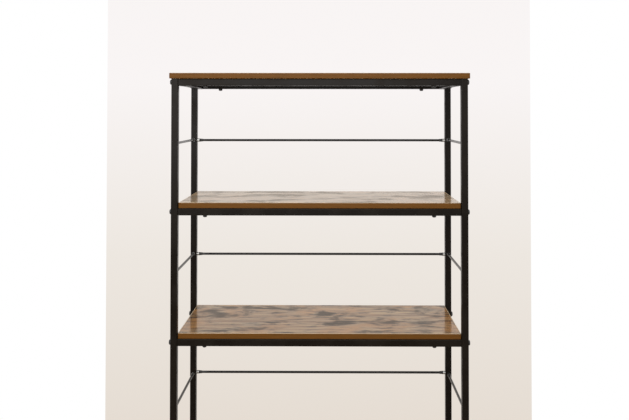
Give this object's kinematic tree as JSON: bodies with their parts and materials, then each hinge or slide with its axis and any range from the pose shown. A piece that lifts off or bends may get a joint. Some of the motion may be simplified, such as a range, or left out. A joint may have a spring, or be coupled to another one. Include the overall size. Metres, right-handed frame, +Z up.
{
  "type": "open shelf unit",
  "caption": "Straight open shelf unit: black square-tube steel frame, rustic-brown laminated boards bolted between the posts, thin guard rods behind and beside each bay, levelling feet",
  "frame": {"origin": "on the floor, under the middle of the unit", "axes": "+X along the shelves to the right as seen from the front, the front faces -Y, +Z up"},
  "size_m": [0.8, 0.3, 1.2],
  "materials": {
    "frame_steel": "black powder coat on square steel tube, fine satin texture",
    "rod_steel": "black powder coat on round steel rod, satin",
    "rustic_laminate": "printed rustic-brown wood laminate on particle board, semi-gloss",
    "brown_edge_band": "plain brown edge band with a faint grain, satin",
    "spacer_zinc": "zinc-plated steel spacer, satin",
    "collar_steel": "black flared collar, satin",
    "bolt_steel": "black oxide button-head bolt, satin",
    "screw_steel": "black domed screw, satin",
    "insert_nylon": "black moulded insert",
    "plug_plastic": "black moulded plug, matt",
    "foot_plastic": "black moulded levelling foot, matt",
    "stud_steel": "zinc-plated steel stud"
  },
  "bodies": {
    "frame": {"board_screws": "screw_steel", "edge_band_1": "brown_edge_band", "edge_band_2": "brown_edge_band", "edge_band_3": "brown_edge_band", "edge_band_4": "brown_edge_band", "frame_bolts": "bolt_steel", "post_front_left": "frame_steel", "post_front_right": "frame_steel", "post_plugs": "plug_plastic", "post_rear_left": "frame_steel", "post_rear_right": "frame_steel", "rail_front_1": "frame_steel", "rail_front_2": "frame_steel", "rail_front_3": "frame_steel", "rail_front_4": "frame_steel", "rail_inserts": "insert_nylon", "rail_left_1": "frame_steel", "rail_left_2": "frame_steel", "rail_left_3": "frame_steel", "rail_left_4": "frame_steel", "rail_rear_1": "frame_steel", "rail_rear_2": "frame_steel", "rail_rear_3": "frame_steel", "rail_rear_4": "frame_steel", "rail_right_1": "frame_steel", "rail_right_2": "frame_steel", "rail_right_3": "frame_steel", "rail_right_4": "frame_steel", "rod_collars": "collar_steel", "rod_left_1": "rod_steel", "rod_left_2": "rod_steel", "rod_left_3": "rod_steel", "rod_rear_1": "rod_steel", "rod_rear_2": "rod_steel", "rod_rear_3": "rod_steel", "rod_right_1": "rod_steel", "rod_right_2": "rod_steel", "rod_right_3": "rod_steel", "rod_spacers": "spacer_zinc", "shelf_board_1": "rustic_laminate", "shelf_board_2": "rustic_laminate", "shelf_board_3": "rustic_laminate", "shelf_board_4": "rustic_laminate"},
    "foot_front_left": {"foot_pad_front_left": "foot_plastic", "foot_stud_front_left": "stud_steel"},
    "foot_front_right": {"foot_pad_front_right": "foot_plastic", "foot_stud_front_right": "stud_steel"},
    "foot_rear_left": {"foot_pad_rear_left": "foot_plastic", "foot_stud_rear_left": "stud_steel"},
    "foot_rear_right": {"foot_pad_rear_right": "foot_plastic", "foot_stud_rear_right": "stud_steel"}
  },
  "joints": [
    {"name": "level_foot_front_left", "type": "slide", "parent": "frame", "child": "foot_front_left", "axis": [0, 0, -1], "range_m": [0, 0.012]},
    {"name": "level_foot_front_right", "type": "slide", "parent": "frame", "child": "foot_front_right", "axis": [0, 0, -1], "range_m": [0, 0.012]},
    {"name": "level_foot_rear_left", "type": "slide", "parent": "frame", "child": "foot_rear_left", "axis": [0, 0, -1], "range_m": [0, 0.012]},
    {"name": "level_foot_rear_right", "type": "slide", "parent": "frame", "child": "foot_rear_right", "axis": [0, 0, -1], "range_m": [0, 0.012]}
  ]
}
